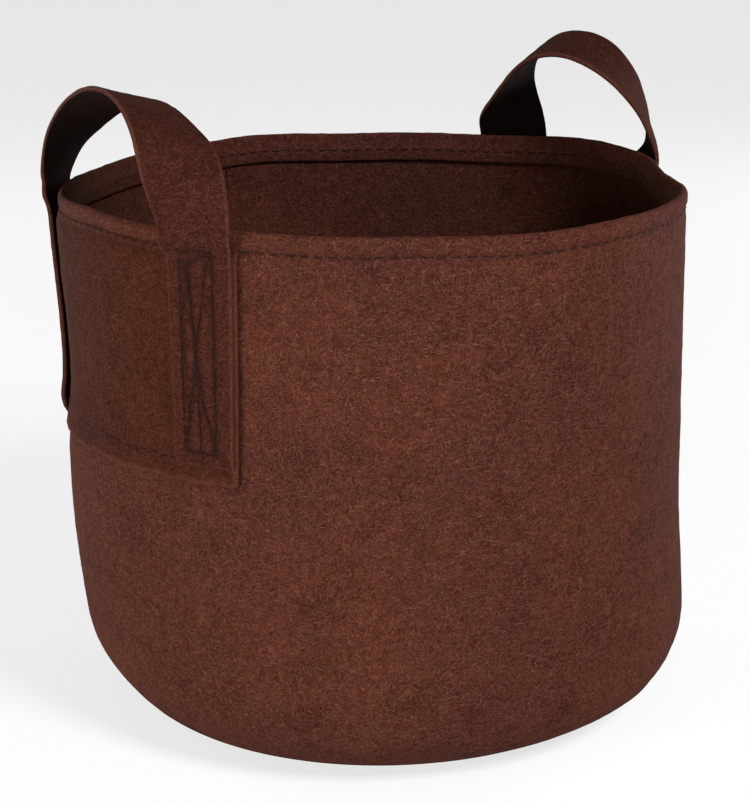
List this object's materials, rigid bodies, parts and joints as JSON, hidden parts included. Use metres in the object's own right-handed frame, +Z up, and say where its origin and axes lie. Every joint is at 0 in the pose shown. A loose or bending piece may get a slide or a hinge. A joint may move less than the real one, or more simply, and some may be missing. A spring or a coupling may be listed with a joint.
{
  "type": "fabric grow bag",
  "caption": "Round open-topped planter bag of thick felt with a hemmed rim, a rounded bottom edge and sewn strap handles on reinforcing patches",
  "frame": {"origin": "middle of the underside of the base, on the bag's own axis, where the bag rests on a surface", "axes": "+Z up through the open top; +X towards the side of the right handle; -Y the front; the handles stand near -X and +X"},
  "size_m": [0.3799, 0.3584, 0.3715],
  "materials": {
    "felt": "matte needle-punched felt, dark reddish brown with short light and dark fibres",
    "strap_felt": "matte needle-punched felt, dark reddish brown, nearly black on its inner side",
    "sewing_thread": "matte dark brown polyester sewing thread"
  },
  "bodies": {
    "bag": {"wall_panel": "felt", "base_panel": "felt", "left_patch": "felt", "right_patch": "felt", "left_front_leg": "strap_felt", "left_rear_leg": "strap_felt", "right_front_leg": "strap_felt", "right_rear_leg": "strap_felt", "rim_needle_thread": "sewing_thread", "rim_bobbin_thread": "sewing_thread", "side_seam_thread": "sewing_thread", "base_seam_thread": "sewing_thread", "left_patch_thread": "sewing_thread", "right_patch_thread": "sewing_thread", "left_front_box_thread": "sewing_thread", "left_rear_box_thread": "sewing_thread", "right_front_box_thread": "sewing_thread", "right_rear_box_thread": "sewing_thread"},
    "left_handle": {"left_handle_loop": "strap_felt"},
    "right_handle": {"right_handle_loop": "strap_felt"}
  },
  "joints": [
    {"name": "left_handle_fold", "type": "hinge", "parent": "bag", "child": "left_handle", "pos_m": [-0.15528, 0.01769, 0.321], "axis": [-0.1132, -0.9936, 0], "range_deg": [-90, 100]},
    {"name": "right_handle_fold", "type": "hinge", "parent": "bag", "child": "right_handle", "pos_m": [0.17263, 0.03044, 0.321], "axis": [-0.1736, 0.9848, 0], "range_deg": [-90, 105]}
  ]
}
